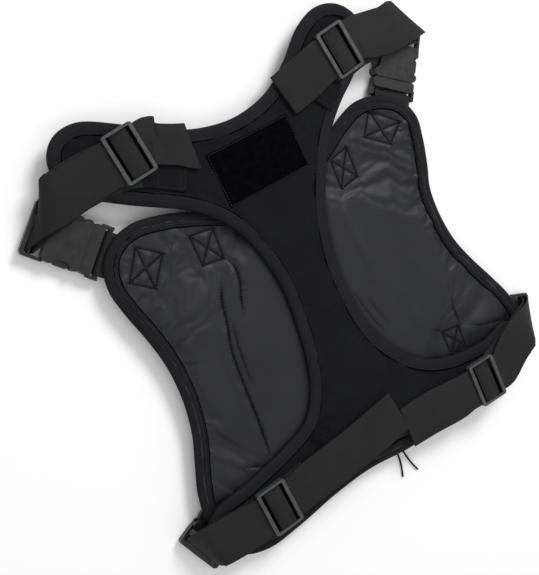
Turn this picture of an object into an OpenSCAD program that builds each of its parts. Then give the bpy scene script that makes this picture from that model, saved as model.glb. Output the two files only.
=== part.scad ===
// Harness vest lying face down: a padded back panel over a one-piece padded front bib,
// joined by two shoulder straps and two belt straps that close with side-release buckles.
// Millimetres. +X to the wearer's right edge of the layout, +Y to the neck, +Z up.

/* [Straps] */
// Width of the shoulder webbing
shoulder_w = 47; // [44:1:50]
// Width of the belt webbing
belt_w = 45; // [42:1:46]
// Width of the narrow gear webbing on the bib
gear_w = 25; // [20:1:28]
// Thickness of all webbing
web_t = 1.4; // [1.2:0.1:1.6]

/* [Panels] */
// Width of the binding tape on the back panel
back_binding_w = 12; // [8:1:13]
// Width of the binding tape on the bib
bib_binding_w = 9; // [8:1:13]
// Thickness of the foam in the bib
bib_foam_t = 2; // [1.5:0.5:2]
// Thickness of the foam in the back panel
back_foam_t = 3; // [2:0.5:3]
// Thickness of a fabric layer
fabric_t = 1; // [0.8:0.1:1]
// Loop patch size across and along the back
patch_size = [92, 54]; // [40:1:92]
// Thickness of the loop patch
patch_t = 1.4; // [1:0.1:1.8]

/* [Buckles] */
// Thickness of the shoulder buckles
shoulder_buckle_t = 12; // [10:0.5:12]
// Thickness of the belt buckles
belt_buckle_t = 9.6; // [9:0.2:9.6]
// Diameter of the webbing bars
bar_d = 5; // [4:0.5:5]

/* [Slides] */
// Length of the shoulder slides along the strap
shoulder_slide_l = 32; // [30:1:36]
// Length of the belt slides along the strap
belt_slide_l = 32; // [30:1:36]
// Thickness of a slide's bars
slide_bar_t = 2; // [1.6:0.2:2]

/* [Pouch and zip] */
// Width of the pouch on the front face
pouch_w = 176; // [150:2:180]
// Diameter of the pull cords
cord_d = 1.8; // [1.4:0.1:2]

/* [Hidden] */
$fn = 48;

// Colours
lining_c = "#3a3b40";
shell_c = "#1d1e22";
foam_c = "#4a4a4a";
tape_c = "#25262a";
web_c = "#2b2c2c";
patch_c = "#0a0a0d";
plastic_c = "#202322";
cord_c = "#141414";

// The layout's centre, moved to the origin
centre = [-0.56, -12.11];

// Heights of the layers, bottom up
bib_z = 11;                                // underside of the bib
bib_top = bib_z + 2 * fabric_t + bib_foam_t;
back_z = bib_top + 2;                      // underside of the back panel
back_top = back_z + 2 * fabric_t + back_foam_t;
binding_lip = 0.3;                         // the tape stands this far proud of both faces
gap = 0.2;                                 // clearance between pieces that slide
layer_1_z = back_top + binding_lip + 0.1 + web_t / 2;      // middle of the sewn strap layer
slide_z = layer_1_z + web_t / 2 + gap;                     // underside of a slide
layer_2_z = slide_z + slide_bar_t + gap + web_t / 2;       // middle of the returning layer
under_z = bib_z - binding_lip - 0.1 - web_t / 2;           // middle of webbing sewn under the bib
draw_in = 2.5;                             // the returning layer draws in inside its slide

// Edge of the back panel, anticlockwise from the neck
back_edge = [
  [0, 151], [-40, 158], [-70, 172], [-100, 190], [-138, 209], [-162, 206], [-176, 190],
  [-176, 166], [-160, 147], [-134, 128], [-108, 112], [-85, 98], [-60, 76], [-43, 48],
  [-34, 15], [-31, -15], [-34, -50], [-41, -88], [-53, -118], [-70, -138], [-100, -148],
  [-150, -157], [-188, -162], [-202, -176], [-199, -198], [-172, -209], [-100, -207],
  [0, -207], [80, -214], [130, -221], [174, -212], [194, -198], [194, -178], [180, -168],
  [150, -173], [100, -165], [68, -146], [47, -118], [36, -90], [32, -55], [33, -20],
  [38, 5], [46, 32], [61, 60], [84, 94], [108, 116], [134, 134], [156, 152], [166, 172],
  [160, 192], [146, 205], [125, 209], [100, 200], [70, 176], [40, 158]
];

// Edge of the bib, anticlockwise from the neckline
bib_edge = [
  [0, 66], [-35, 74], [-70, 90], [-105, 104], [-135, 110], [-158, 105], [-175, 90],
  [-182, 68], [-179, 42], [-172, 12], [-167, -20], [-168, -55], [-175, -88], [-187, -117],
  [-197, -142], [-201, -168], [-198, -196], [-186, -216], [-160, -227], [-120, -226],
  [-75, -221], [-30, -220], [15, -226], [60, -229], [110, -234], [150, -231], [182, -219],
  [200, -200], [206, -174], [202, -147], [190, -118], [177, -90], [167, -62], [163, -30],
  [165, -2], [173, 20], [181, 48], [184, 70], [174, 92], [152, 107], [125, 112], [100, 105],
  [70, 90], [35, 74]
];

// Buckle places: middle of the socket's webbing bar, direction to the plug, size, thickness
socket_reach = 31;                         // from a buckle's middle to the socket's webbing bar
plug_reach = 36;                           // from a buckle's middle to the plug's webbing bar
guard_reach = 7;                           // from the webbing bar out to the guard bar
shoulder_k = 0.93;                         // size of the shoulder buckles
belt_k = 0.86;                             // size of the belt buckles
left_shoulder = [[-209.5, 143], [0.67, -0.74], shoulder_k, shoulder_buckle_t];
right_shoulder = [[207, 149.7], [-0.57, -0.82], shoulder_k, shoulder_buckle_t];
left_belt = [[-214.2, -192], [0.93, 0.37], belt_k, belt_buckle_t];
right_belt = [[214.5, -180.2], [-0.925, 0.38], belt_k, belt_buckle_t];
floor_gap = 0.4;

// Slide places: middle, direction of the strap towards its buckle
left_shoulder_slide = [[-110.2, 165.6], [-0.995, -0.09]];
right_shoulder_slide = [[126.3, 163.5], [0.991, 0.13]];
left_belt_slide = [[-134.4, -192.5], [-0.999, -0.02]];
right_belt_slide = [[128, -208.5], [0.999, -0.03]];

// Straight run of webbing through a slide, to each side of its middle
slide_run = 17;
function through(place, way) =
  let (d = unit(place[1]), u = [-d[1], d[0]], across = u[1] < 0 ? -u : u)
  [for (x = [1.4, 1, 0, -1, -1.4])
    [[place[0][0] + d[0] * slide_run * x * way, place[0][1] + d[1] * slide_run * x * way, layer_2_z],
      across]];

// Where each strap's two layers turn down to the buckle: middle, direction across the webbing
left_shoulder_turn = [[-180, 158.3], [-0.02, 1]];
right_shoulder_turn = [[184, 160.5], [0.03, 1]];
left_belt_turn = [[-204.6, -189.5], [-0.02, 1]];
right_belt_turn = [[194.5, -187.5], [-0.02, 1]];
function turn(t, z) = [[t[0][0], t[0][1], z], t[1]];

// Strap routes: each station is [x, y, z], the direction across the webbing in the plan
left_shoulder_sewn = [
  [[-64.5, 132.1, layer_1_z], [0.5, 0.86]], [[-108, 157, layer_1_z], [0.42, 0.9]],
  [[-138, 162, layer_1_z], [0.05, 1]], turn(left_shoulder_turn, layer_1_z)
];
left_shoulder_back = concat([turn(left_shoulder_turn, layer_2_z)],
  through(left_shoulder_slide, 1),
  [[[-72, 158.5, layer_2_z - 0.5], [0.15, 0.99]], [[-50.4, 148.5, layer_2_z - 2], [0.02, 1]]]);
right_shoulder_sewn = [
  [[80, 134, layer_1_z], [-0.6, 0.8]], [[112, 154, layer_1_z], [-0.4, 0.92]],
  [[145, 162, layer_1_z], [0, 1]], turn(right_shoulder_turn, layer_1_z)
];
right_shoulder_back = concat([turn(right_shoulder_turn, layer_2_z)],
  through(right_shoulder_slide, 1),
  [[[80, 154.5, layer_2_z - 0.5], [-0.14, 0.99]], [[51.8, 148.5, layer_2_z - 2], [-0.14, 0.99]]]);
left_belt_sewn = [
  [[-92, -190, layer_1_z], [0, 1]], [[-132, -194, layer_1_z], [0, 1]],
  [[-160, -194, layer_1_z], [0, 1]], turn(left_belt_turn, layer_1_z)
];
left_belt_back = concat([turn(left_belt_turn, layer_2_z)],
  through(left_belt_slide, 1),
  [[[-90, -189.5, layer_2_z], [-0.05, 1]], [[-40, -187.5, layer_2_z], [0, 1]],
    [[21.8, -181, layer_2_z], [0.17, 0.985]]]);
right_belt_sewn = [
  [[96, -206, layer_1_z], [0, 1]], [[128, -207, layer_1_z], [0, 1]],
  [[158, -200, layer_1_z], [-0.2, 0.98]], turn(right_belt_turn, layer_1_z)
];
right_belt_back = concat([turn(right_belt_turn, layer_2_z)],
  [[[174, -196, layer_2_z], [-0.15, 0.99]]],
  through(right_belt_slide, 1),
  [[[88, -207.5, layer_2_z - 0.5], [0.03, 1]], [[56, -204.5, layer_1_z + 1], [0.05, 1]],
    [[23.6, -203.5, layer_1_z], [0.14, 0.99]]]);

// Straps between their turn and the buckle: the layer going down outside the webbing bar
left_shoulder_over = [
  [[-190, 155.5, layer_2_z - 1], [0.15, 0.99]], [[-199.5, 151.5, 22.5], [0.42, 0.9]],
  [[-207.5, 147.5, 17], [0.62, 0.78]]
];
right_shoulder_over = [
  [[203, 161.5, layer_2_z - 0.4], [-0.25, 0.97]], [[211.5, 159.5, 23], [-0.45, 0.89]],
  [[212, 156, 17], [-0.65, 0.76]]
];
left_belt_over = [
  [[-211, -188.5, layer_2_z - 1.4], [-0.1, 1]], [[-215.8, -188.8, 20.5], [-0.2, 0.98]],
  [[-217.2, -190.8, 14.5], [-0.32, 0.95]]
];
right_belt_over = [
  [[203, -185.5, layer_2_z - 1], [0.06, 1]], [[211, -183.5, 21.5], [0.2, 0.98]],
  [[216.5, -181.6, 15], [0.32, 0.95]]
];
// and the layer coming up inside it
left_shoulder_inner = [
  [[-204.5, 144.5, 16], [0.62, 0.78]], [[-194, 151, 20.5], [0.35, 0.94]]
];
right_shoulder_inner = [
  [[204, 151, 16], [-0.65, 0.76]], [[197, 157, 20.5], [-0.3, 0.95]]
];
left_belt_inner = [
  [[-210.8, -190, 14.5], [-0.3, 0.95]], [[-209.6, -189.5, 20], [-0.15, 0.99]]
];
right_belt_inner = [
  [[211.2, -180.2, 14.5], [0.35, 0.94]], [[204.5, -184, 20.5], [0.12, 0.99]]
];

// Gear webbing on the front face: ends and the direction across
gear_left = [[-81, 58], [-127, -126]];
gear_right = [[83, 60], [118, -132]];

// Zip along the lower edge of the pouch, on the front face
zip_y = -195;
zip_half = 124;
zip_tape_w = 16;
zip_tape_t = 1;
coil_size = [3, 1];
coil_margin = 3;                           // the coil stops this far inside the tape's ends
slider_size = [9, 9, 3];
slider_corner = 2;
slider_x = [8.5, 18.5];
bail_w = 3;
bail_r = 2.6;
bail_hole_r = 1.3;
pouch_x = 5;
pouch_y = [-186, -72];
pouch_corner = 14;

// Pull cord routes, from the slider's bail to the free end
left_cord = [
  [8.5, -198, 3.6], [8.7, -201, 3.4], [9.4, -207, 2.6], [10.4, -214, 1.7], [11.2, -221, 1.2],
  [11.4, -229, 1.1], [10.4, -237, 1.1], [8, -244.5, 1.1], [4.6, -251, 1.1]
];
right_cord = [
  [18.5, -198, 3.6], [18.5, -201, 3.4], [18.4, -207, 2.6], [18.1, -214, 1.7],
  [18, -221, 1.2], [18.2, -229, 1.1], [18.8, -237, 1.1], [20.2, -244.5, 1.1], [22, -251.4, 1.1]
];

// ---- curves and sweeps ----

function catmull(a, b, c, d, t) =
  0.5 * (2 * b + (c - a) * t + (2 * a - 5 * b + 4 * c - d) * t * t
    + (3 * b - a - 3 * c + d) * t * t * t);

// A smooth closed line through the points, n steps between neighbours
function closed_curve(p, n) = [
  for (i = [0:len(p) - 1], j = [0:n - 1])
    let (m = len(p))
    catmull(p[(i + m - 1) % m], p[i], p[(i + 1) % m], p[(i + 2) % m], j / n)
];

// A smooth open line through the points
function open_curve(p, n) = concat(
  [for (i = [0:len(p) - 2], j = [0:n - 1])
    catmull(p[max(i - 1, 0)], p[i], p[i + 1], p[min(i + 2, len(p) - 1)], j / n)],
  [p[len(p) - 1]]
);

function unit(v) = v / norm(v);
function flat(v) = [v[0], v[1]];

// A closed anticlockwise line moved inwards by d
function inset(p, d) = [
  for (i = [0:len(p) - 1])
    let (m = len(p), t = unit(p[(i + 1) % m] - p[(i + m - 1) % m]))
    p[i] + d * [-t[1], t[0]]
];

curve_steps = 4;
back_shift = [-1.2, 0.7];
bib_shift = [1.6, -1];
back_line = closed_curve([for (p = back_edge) p + back_shift], curve_steps);
bib_line = closed_curve([for (p = bib_edge) p + bib_shift], curve_steps);

function tangent(c, i) = unit(c[min(i + 1, len(c) - 1)] - c[max(i - 1, 0)]);

// Triangles that close a row of n rings of k points each
function side_faces(n, k) = [
  for (i = [0:n - 2], j = [0:k - 1], s = [0, 1])
    let (a = i * k + j, b = i * k + (j + 1) % k)
    s == 0 ? [a, b, a + k] : [b, b + k, a + k]
];
function end_faces(n, k) = concat(
  [for (j = [1:k - 2]) [0, j + 1, j]],
  [for (j = [1:k - 2]) [(n - 1) * k, (n - 1) * k + j, (n - 1) * k + j + 1]]
);

// A flat ribbon along stations of [centre, direction across], half wide each way
module ribbon(stations, half, t = web_t, n = 4) {
  c = open_curve([for (s = stations) s[0]], n);
  u = open_curve([for (s = stations) concat(s[1], len(s[1]) == 2 ? [0] : [])], n);
  k = len(c);
  rings = [
    for (i = [0:k - 1])
      let (w = unit(u[i]), up = unit(cross(w, tangent(c, i))))
      for (q = [[-1, -1], [1, -1], [1, 1], [-1, 1]])
        c[i] + w * half * q[0] + up * t / 2 * q[1]
  ];
  polyhedron(rings, concat(side_faces(k, 4), end_faces(k, 4)));
}

// A round tube along a route
module tube(route, d, sides = 8, n = 2) {
  c = open_curve(route, n);
  k = len(c);
  rings = [
    for (i = [0:k - 1])
      let (t = tangent(c, i), a = unit(cross(t, [0, 0, 1])), b = cross(a, t))
      for (j = [0:sides - 1])
        c[i] + d / 2 * (a * cos(360 * j / sides) + b * sin(360 * j / sides))
  ];
  polyhedron(rings, concat(side_faces(k, sides), end_faces(k, sides)));
}

module placed() {
  translate([-centre[0], -centre[1], 0]) children();
}

module slab(line, z, t) {
  placed() translate([0, 0, z]) linear_extrude(t) polygon(line);
}

module band(line, width, z, t) {
  placed() translate([0, 0, z]) linear_extrude(t)
    difference() {
      polygon(line);
      polygon(inset(line, width));
    }
}

module round_plate(size, r, t) {
  linear_extrude(t)
    hull()
      for (x = [-1, 1], y = [-1, 1])
        translate([x * (size[0] / 2 - r), y * (size[1] / 2 - r)]) circle(r);
}

// ---- panels ----

bib_inner = inset(bib_line, bib_binding_w);
back_inner = inset(back_line, back_binding_w);

module front_shell() color(shell_c) slab(bib_inner, bib_z, fabric_t);
module front_padding() color(foam_c) slab(bib_inner, bib_z + fabric_t, bib_foam_t);
module front_lining() color(lining_c) slab(bib_inner, bib_z + fabric_t + bib_foam_t, fabric_t);
module front_binding() color(tape_c)
  band(bib_line, bib_binding_w, bib_z - binding_lip, bib_top - bib_z + 2 * binding_lip);

module back_lining() color(lining_c) slab(back_inner, back_z, fabric_t);
module back_padding() color(foam_c) slab(back_inner, back_z + fabric_t, back_foam_t);
module back_shell() color(shell_c) slab(back_inner, back_z + fabric_t + back_foam_t, fabric_t);
module back_binding() color(tape_c)
  band(back_line, back_binding_w, back_z - binding_lip, back_top - back_z + 2 * binding_lip);

patch_place = [1.8, 105.7];
patch_corner = 3;
module loop_patch() color(patch_c)
  placed() translate([patch_place[0], patch_place[1], back_top])
    round_plate(patch_size, patch_corner, patch_t);

module front_pouch() color(shell_c)
  placed() translate([pouch_x, (pouch_y[0] + pouch_y[1]) / 2, 0])
    round_plate([pouch_w, pouch_y[1] - pouch_y[0]], pouch_corner, bib_z);

module gear_webbing(ends) color(web_c)
  placed()
    let (d = unit(ends[1] - ends[0]))
    ribbon([for (e = ends) [[e[0], e[1], under_z], [-d[1], d[0]]]], gear_w / 2, n = 1);
module gear_webbing_left() gear_webbing(gear_left);
module gear_webbing_right() gear_webbing(gear_right);

// ---- zip ----

tape_z = bib_z - zip_tape_t;
coil_z = tape_z - coil_size[1];
channel_gap = 0.25;

module zip_tape() color(tape_c)
  placed() translate([pouch_x - zip_half, zip_y - zip_tape_w / 2, tape_z])
    cube([2 * zip_half, zip_tape_w, zip_tape_t]);

module zip_coil() color(tape_c)
  placed() translate([pouch_x + coil_margin - zip_half, zip_y - coil_size[0] / 2, coil_z])
    cube([2 * (zip_half - coil_margin), coil_size[0], coil_size[1]]);

// A slider with a channel for the coil and a bail under it for the cord
module zip_slider(x) color(plastic_c)
  placed() translate([x, zip_y, tape_z - channel_gap]) {
    difference() {
      translate([0, 0, -slider_size[2]])
        round_plate([slider_size[0], slider_size[1]], slider_corner, slider_size[2]);
      translate([-slider_size[0], -coil_size[0] / 2 - channel_gap, -coil_size[1] - channel_gap])
        cube([2 * slider_size[0], coil_size[0] + 2 * channel_gap, slider_size[2]]);
    }
    translate([0, -1, -slider_size[2] - 1])
      rotate([0, 90, 0])
        difference() {
          cylinder(h = bail_w, r = bail_r, center = true);
          cylinder(h = bail_w + 1, r = bail_hole_r, center = true);
        }
  }
module zip_slider_left() zip_slider(slider_x[0]);
module zip_slider_right() zip_slider(slider_x[1]);

module pull_cord_left() color(cord_c) placed() tube(left_cord, cord_d);
module pull_cord_right() color(cord_c) placed() tube(right_cord, cord_d);

// ---- buckles: local x runs from the socket's bar to the plug's bar ----

module at_buckle(b) {
  k = b[2];
  mid = b[0] + unit(b[1]) * socket_reach * k;
  placed() translate([mid[0], mid[1], b[3] / 2 + floor_gap])
    rotate([0, 0, atan2(b[1][1], b[1][0])]) children();
}

body_x = [-20, 18.6];                      // socket body, outer end and mouth
body_half = 26;
rail_half = 27.5;
rail_t = 3;
rail_h = 7;
guard_d = 4;
cavity_half = 20.5;
cavity_h = 7.2;
window_x = [-12, 11.5];
thumb_x = 1;                               // scallops over the thumb pads
thumb_r = 12;
thumb_depth = 6;
plug_base_x = [19, 30];
tongue_half = 5;
tongue_reach = 14;                         // the tongue ends this far past the buckle's middle
arm_t = 6;
end_wall = 3;                              // the socket's outer end, outside its cavity
arm_outline = [
  [19, 11], [19, 16], [10.5, 18.5], [9.5, 24], [6, 26.5], [-5, 26.5],
  [-8.5, 24], [-8.5, 18], [2, 16.5], [9, 13]
];

module rounded_box(x, half, t, r) {
  translate([(x[0] + x[1]) / 2, 0, -t / 2]) round_plate([x[1] - x[0], 2 * half], r, t);
}

module webbing_bar(x, half) {
  translate([x, 0, 0]) rotate([90, 0, 0]) cylinder(d = bar_d, h = 2 * half - 1, center = true);
}

module rails(x, half, h) {
  for (s = [-1, 1])
    translate([(x[0] + x[1]) / 2, s * (half - rail_t / 2), 0])
      cube([x[1] - x[0], rail_t, h], center = true);
}

// The guard bar closes the frame outside the webbing, with rounded corners
module rounded_bar(x, half) {
  translate([x, 0, -rail_h / 2])
    linear_extrude(rail_h)
      hull()
        for (s = [-1, 1]) {
          translate([0, s * (half - guard_d)]) circle(d = guard_d);
          translate([guard_d / 4, s * (half - guard_d / 4)]) circle(d = guard_d / 2);
        }
}

module socket(b) color(plastic_c)
  at_buckle(b) scale([b[2], b[2], b[2]]) let (t = b[3] / b[2]) {
    difference() {
      rounded_box(body_x, body_half, t, 5);
      translate([body_x[0] + end_wall, -cavity_half, -cavity_h / 2])
        cube([body_x[1] - body_x[0], 2 * cavity_half, cavity_h]);
      translate([window_x[0], -body_half - 1, -cavity_h / 2])
        cube([window_x[1] - window_x[0], 2 * body_half + 2, cavity_h]);
      for (s = [-1, 1])
        translate([thumb_x, s * (body_half + thumb_r - thumb_depth), 0])
          cylinder(h = t + 2, r = thumb_r, center = true);
    }
    webbing_bar(-socket_reach, rail_half);
    guard_x = -socket_reach - guard_reach;
    rails([guard_x, body_x[0] + end_wall], rail_half, rail_h);
    rounded_bar(guard_x, rail_half);
  }

module plug(b) color(plastic_c)
  at_buckle(b) scale([b[2], b[2], b[2]]) let (t = b[3] / b[2]) {
    rounded_box(plug_base_x, body_half - 1, t - 2, 3);
    translate([-tongue_reach, -tongue_half, -arm_t / 2])
      cube([plug_base_x[0] + 2 + tongue_reach, 2 * tongue_half, arm_t]);
    webbing_bar(plug_reach, rail_half - 0.5);
    rails([plug_base_x[1] - 3, plug_reach + bar_d / 2], rail_half - 0.5, rail_h);
  }

// A spring arm with its thumb pad, on side s
module arm(b, s) color(plastic_c)
  at_buckle(b) scale([b[2], b[2], b[2]])
    translate([0, 0, -arm_t / 2]) linear_extrude(arm_t)
      scale([1, s]) polygon(arm_outline);

// Short sewn webbing that holds the plug under the bib
tab_l = 34;
tab_flat = 14;                             // its two layers lie together beyond this
tab_rise = 6;                              // and start to part here, towards the bar
tab_layers = 1.6;                          // between the middles of the two layers
function wrap_r(b) = bar_d * b[2] / 2 + 0.25 + web_t / 2;

module tab(b, half) color(web_c)
  at_buckle(b)
    let (
      k = b[2],
      z = under_z - b[3] / 2 - floor_gap,
      bx = plug_reach * k,
      r = wrap_r(b),
      wrap = [for (a = [90:30:270]) [bx + r * cos(a), 0, r * sin(a)]]
    )
    ribbon([for (p = concat(
        [[bx + tab_l, 0, z], [bx + tab_flat, 0, z], [bx + tab_rise, 0, max(z, r)]], wrap,
        [[bx + tab_rise, 0, -r + gap * 3], [bx + tab_flat, 0, z - tab_layers - gap * 3],
          [bx + tab_l, 0, z - tab_layers]]))
      [p, [0, 1, 0]]], half, n = 2);

module shoulder_socket_left() socket(left_shoulder);
module shoulder_socket_right() socket(right_shoulder);
module belt_socket_left() socket(left_belt);
module belt_socket_right() socket(right_belt);
module shoulder_plug_left() plug(left_shoulder);
module shoulder_plug_right() plug(right_shoulder);
module belt_plug_left() plug(left_belt);
module belt_plug_right() plug(right_belt);
module shoulder_arm_left_a() arm(left_shoulder, 1);
module shoulder_arm_left_b() arm(left_shoulder, -1);
module shoulder_arm_right_a() arm(right_shoulder, 1);
module shoulder_arm_right_b() arm(right_shoulder, -1);
module belt_arm_left_a() arm(left_belt, 1);
module belt_arm_left_b() arm(left_belt, -1);
module belt_arm_right_a() arm(right_belt, 1);
module belt_arm_right_b() arm(right_belt, -1);
tab_draw = 3;                              // the tab is this much narrower than its slot
module shoulder_tab_left() tab(left_shoulder, shoulder_w / 2 - tab_draw);
module shoulder_tab_right() tab(right_shoulder, shoulder_w / 2 - tab_draw);
module belt_tab_left() tab(left_belt, belt_w / 2 - tab_draw);
module belt_tab_right() tab(right_belt, belt_w / 2 - tab_draw);

// ---- straps ----

// The sewn layer on the panel and the layer that comes back from the buckle
module strap(sewn, back, half) color(web_c)
  placed() {
    ribbon(sewn, half);
    ribbon(back, half - draw_in);
  }

// The webbing between the strap's turn and the socket: down outside the webbing bar, round
// under it, and up inside it. over and inner list the stations in between.
module strap_loop(b, at, over, inner, half) color(web_c)
  placed()
    let (
      a = unit(b[1]), u = b[0][0] < 0 ? [-a[1], a[0]] : [a[1], -a[0]],
      across = u[1] < 0 ? -u : u,
      z = b[3] / 2 + floor_gap,
      r = wrap_r(b),
      step = unit(flat(over[0][0]) - at[0]) * seam_gap,
      first = [[at[0][0] + step[0], at[0][1] + step[1]], at[1]],
      wrap = [for (t = [0:30:180])
        [[b[0][0] - a[0] * r * cos(t), b[0][1] - a[1] * r * cos(t), z - r * sin(t)], across]]
    )
    ribbon(concat([turn(first, layer_2_z)], over,
      [[[b[0][0] - a[0] * r, b[0][1] - a[1] * r, z + upright], across]], wrap,
      [[[b[0][0] + a[0] * r, b[0][1] + a[1] * r, z + upright], across]], inner,
      [turn(first, layer_1_z)]), half - draw_in, n = 3);

upright = 3.5;                             // the webbing leaves the bar upright for this far
seam_gap = 0.5;                            // between a strap and its loop
module shoulder_strap_left() strap(left_shoulder_sewn, left_shoulder_back, shoulder_w / 2);
module shoulder_strap_right() strap(right_shoulder_sewn, right_shoulder_back, shoulder_w / 2);
module belt_strap_left() strap(left_belt_sewn, left_belt_back, belt_w / 2);
module belt_strap_right() strap(right_belt_sewn, right_belt_back, belt_w / 2);

module shoulder_loop_left() strap_loop(left_shoulder, left_shoulder_turn,
  left_shoulder_over, left_shoulder_inner, shoulder_w / 2);
module shoulder_loop_right() strap_loop(right_shoulder, right_shoulder_turn,
  right_shoulder_over, right_shoulder_inner, shoulder_w / 2);
module belt_loop_left() strap_loop(left_belt, left_belt_turn,
  left_belt_over, left_belt_inner, belt_w / 2);
module belt_loop_right() strap_loop(right_belt, right_belt_turn,
  right_belt_over, right_belt_inner, belt_w / 2);

// A three-bar slide: the middle bar under the returning webbing, the outer bars over it
slide_rail = 2.6;
slide_play = 0.8;
outer_bar = 3.6;
middle_bar = 4.6;
slide_corner = 3;

module slide(place, length, web) color(plastic_c)
  placed() translate([place[0][0], place[0][1], slide_z])
    rotate([0, 0, atan2(place[1][1], place[1][0])]) {
      inner = web / 2 - draw_in + slide_play;
      outer = inner + slide_rail;
      h = 2 * slide_bar_t + 2 * gap + web_t;
      difference() {
        round_plate([length, 2 * outer], slide_corner, h);
        translate([-length / 2 - 1, -inner, -1]) cube([length + 2, 2 * inner, h - slide_bar_t + 1]);
        translate([outer_bar - length / 2, -inner, 0]) cube([length - 2 * outer_bar, 2 * inner, h + 1]);
      }
      translate([-middle_bar / 2, -inner - 1, 0]) cube([middle_bar, 2 * inner + 2, slide_bar_t]);
    }
module shoulder_slide_left() slide(left_shoulder_slide, shoulder_slide_l, shoulder_w);
module shoulder_slide_right() slide(right_shoulder_slide, shoulder_slide_l, shoulder_w);
module belt_slide_left() slide(left_belt_slide, belt_slide_l, belt_w);
module belt_slide_right() slide(right_belt_slide, belt_slide_l, belt_w);

front_shell();
front_padding();
front_lining();
front_binding();
front_pouch();
gear_webbing_left();
gear_webbing_right();
zip_tape();
zip_coil();
zip_slider_left();
zip_slider_right();
pull_cord_left();
pull_cord_right();
back_shell();
back_padding();
back_lining();
back_binding();
loop_patch();
shoulder_strap_left();
shoulder_strap_right();
belt_strap_left();
belt_strap_right();
shoulder_loop_left();
shoulder_loop_right();
belt_loop_left();
belt_loop_right();
shoulder_slide_left();
shoulder_slide_right();
belt_slide_left();
belt_slide_right();
shoulder_socket_left();
shoulder_socket_right();
belt_socket_left();
belt_socket_right();
shoulder_plug_left();
shoulder_plug_right();
belt_plug_left();
belt_plug_right();
shoulder_arm_left_a();
shoulder_arm_left_b();
shoulder_arm_right_a();
shoulder_arm_right_b();
belt_arm_left_a();
belt_arm_left_b();
belt_arm_right_a();
belt_arm_right_b();
shoulder_tab_left();
shoulder_tab_right();
belt_tab_left();
belt_tab_right();
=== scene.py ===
"""The looks of the harness vest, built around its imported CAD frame. Layout sizes are in millimetres."""

import math
import random

import bpy
import numpy as np
from mathutils import Matrix, Vector
from mathutils.bvhtree import BVHTree
from mathutils.geometry import delaunay_2d_cdt


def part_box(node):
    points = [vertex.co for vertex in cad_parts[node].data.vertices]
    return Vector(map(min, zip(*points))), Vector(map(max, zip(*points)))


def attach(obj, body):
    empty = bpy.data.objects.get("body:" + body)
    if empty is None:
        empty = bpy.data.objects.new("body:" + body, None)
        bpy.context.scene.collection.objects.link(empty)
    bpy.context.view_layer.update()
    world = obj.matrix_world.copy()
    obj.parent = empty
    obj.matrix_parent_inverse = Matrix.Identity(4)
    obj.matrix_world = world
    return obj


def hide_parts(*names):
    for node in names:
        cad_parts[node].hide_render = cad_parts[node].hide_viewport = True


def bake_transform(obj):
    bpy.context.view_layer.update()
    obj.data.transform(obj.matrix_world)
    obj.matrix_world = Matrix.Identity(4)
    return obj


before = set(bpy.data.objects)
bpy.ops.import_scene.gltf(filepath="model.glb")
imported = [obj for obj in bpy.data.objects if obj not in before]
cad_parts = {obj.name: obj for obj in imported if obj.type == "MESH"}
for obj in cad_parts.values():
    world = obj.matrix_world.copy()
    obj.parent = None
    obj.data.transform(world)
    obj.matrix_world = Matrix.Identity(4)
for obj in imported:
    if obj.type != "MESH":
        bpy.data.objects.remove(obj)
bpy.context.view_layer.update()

random.seed(7)
rng = np.random.default_rng(7)

MM = 0.001
CENTRE = np.array([-0.56, -12.11, 0.0])       # the layout's middle, which is the frame's origin

# Driving sizes, in millimetres, as in the CAD model
WEB_T = 1.4
SHOULDER_HALF = 23.5                          # half widths of the webbing as sewn
BELT_HALF = 22.5
GEAR_HALF = 12.5
BACK_TAPE = 12.0                              # visible width of the binding tapes
BIB_TAPE = 9.0
HEM = 4.6                                     # flat hem that shows inside the bib's tape
BIB_Z = (11.0, 15.0)                          # underside and top of the bib
BACK_Z = (17.0, 22.0)                         # underside and top of the back panel
LAYER_1 = 23.1                                # middle of a strap's sewn layer
LAYER_2 = 26.9                                # middle of a strap's returning layer
BAR_D = 5.0                                   # a buckle's webbing bar, before it is scaled
SOCKET_REACH = 31.0                           # from a buckle's middle to its socket's and its plug's bar
PLUG_REACH = 36.0
SHOULDER_K = 0.93                             # scale of the buckles
BELT_K = 0.86
FLOOR_GAP = 0.4
UNDER_Z = BIB_Z[0] - 0.4 - WEB_T / 2          # middle of the webbing under the bib
POUCH = (5.0, -129.0, 176.0, 114.0, 14.0)     # middle, size and corner radius
ZIP_X, ZIP_Y = 5.0, -195.0
ZIP_Z = 9.6                                   # middle of the zip's coil
COIL_PITCH = 1.3
CORD_D = 1.8
STEP = 4.0                                    # pitch of the outlines and of the panels' meshes


# ---------------- curves

def to_frame(points):
    """Layout millimetres to metres in the row frame."""
    return (np.asarray(points, float) - CENTRE) * MM


def unit(v):
    v = np.asarray(v, float)
    return v / np.maximum(np.linalg.norm(v, axis=-1, keepdims=True), 1e-12)


def left_of(v):
    """Plan directions, turned a quarter anticlockwise."""
    return np.stack([-v[..., 1], v[..., 0]], axis=-1)


def joined(path):
    """The points of a closed path, with the first one again at the end."""
    return np.vstack([path, path[:1]])


def at_height(xy, z):
    """Plan points raised to one height, or to one each."""
    return np.column_stack([xy, np.broadcast_to(z, len(xy))])


def distance(points, line):
    """How far each point is from the nearest point of a line, in the plan."""
    return np.array([np.sqrt(((line - q[:2]) ** 2).sum(1).min()) for q in points])


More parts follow.
